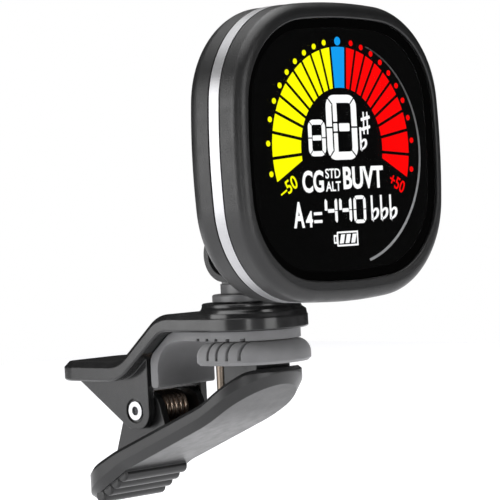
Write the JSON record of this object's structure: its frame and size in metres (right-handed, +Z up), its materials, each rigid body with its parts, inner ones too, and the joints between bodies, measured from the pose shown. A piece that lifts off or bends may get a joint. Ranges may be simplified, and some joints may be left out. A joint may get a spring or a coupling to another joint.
{
  "type": "clip on tuner",
  "caption": "Instrument tuner with a round-square colour display on a tilting, swivelling neck above a sprung clip with ribbed rubber jaw pads.",
  "frame": {"origin": "centre of the smooth grip flat on the upper jaw's rubber pad, between its ribs and its throat curve", "axes": "+Z up out of the top of the head, -Y out of the display, X across the display and along the jaw pivot pin"},
  "size_m": [0.0514, 0.0667, 0.087],
  "materials": {
    "case_black": "fine-textured matte charcoal case plastic",
    "trim_silver": "satin brushed aluminium band",
    "clip_black": "satin-gloss black clip plastic",
    "pad_rubber": "mid-grey moulded rubber",
    "window_clear": "clear gloss window",
    "lcd_glass": "dark display glass",
    "light_guide": "milky light guide",
    "board_green": "solder-masked circuit board",
    "chip_black": "moulded chip package",
    "steel": "bright steel",
    "spring_steel": "dark bronze-tinted spring wire",
    "post_bronze": "bronze-toned metal post",
    "brass": "plain brass",
    "contact_steel": "nickel-plated contact leaf",
    "elastomer": "striped elastomer connector",
    "button_black": "matte button plastic",
    "washer_nylon": "natural nylon washer"
  },
  "bodies": {
    "upper_jaw": {"upper_arm": "clip_black", "upper_pad": "pad_rubber", "pivot_pin": "steel", "torsion_spring": "spring_steel"},
    "lower_jaw": {"lower_arm": "clip_black", "lower_pad": "pad_rubber", "pad_posts": "post_bronze"},
    "neck": {"swivel_neck": "clip_black", "swivel_washer": "contact_steel", "swivel_screw": "steel"},
    "head": {"rear_cover": "case_black", "trim_band": "trim_silver", "front_bezel": "case_black", "display_window": "window_clear", "lcd_panel": "lcd_glass", "backlight_panel": "light_guide", "lcd_connector": "elastomer", "circuit_board": "board_green", "controller_chip": "chip_black", "coin_cell": "steel", "negative_contact": "contact_steel", "positive_contact": "contact_steel", "piezo_disc": "brass", "tact_switches": "contact_steel", "case_screws": "steel", "hinge_pin": "steel", "hinge_nut": "steel", "hinge_washers": "washer_nylon"},
    "battery_door": {"battery_door": "case_black"},
    "power_button": {"power_button": "button_black"},
    "mode_button": {"mode_button": "button_black"},
    "pitch_button": {"pitch_button": "button_black"}
  },
  "joints": [
    {"name": "jaw_open", "type": "hinge", "parent": "upper_jaw", "child": "lower_jaw", "pos_m": [0, 0.0144, -0.01265], "axis": [1, 0, 0], "range_deg": [0, 32], "stiffness_Nm_per_rad": 0.25, "springref_deg": -51.57, "deforming": ["torsion_spring"]},
    {"name": "neck_swivel", "type": "hinge", "parent": "upper_jaw", "child": "neck", "pos_m": [0, -0.009, 0.00645], "axis": [0, 0, 1], "continuous": true},
    {"name": "head_tilt", "type": "hinge", "parent": "neck", "child": "head", "pos_m": [0, -0.009, 0.0149], "axis": [-1, 0, 0], "range_deg": [0, 75]},
    {"name": "battery_door_turn", "type": "hinge", "parent": "head", "child": "battery_door", "pos_m": [0, -0.0203, 0.03345], "axis": [0, 1, 0], "range_deg": [0, 45]},
    {"name": "power_button_press", "type": "slide", "parent": "head", "child": "power_button", "axis": [0, -1, 0], "range_m": [0, 0.0005], "stiffness_N_per_m": 1500, "springref_m": -0.0004},
    {"name": "mode_button_press", "type": "slide", "parent": "head", "child": "mode_button", "axis": [0, -1, 0], "range_m": [0, 0.0005], "stiffness_N_per_m": 1500, "springref_m": -0.0004},
    {"name": "pitch_button_press", "type": "slide", "parent": "head", "child": "pitch_button", "axis": [0, -1, 0], "range_m": [0, 0.0005], "stiffness_N_per_m": 1500, "springref_m": -0.0004}
  ]
}
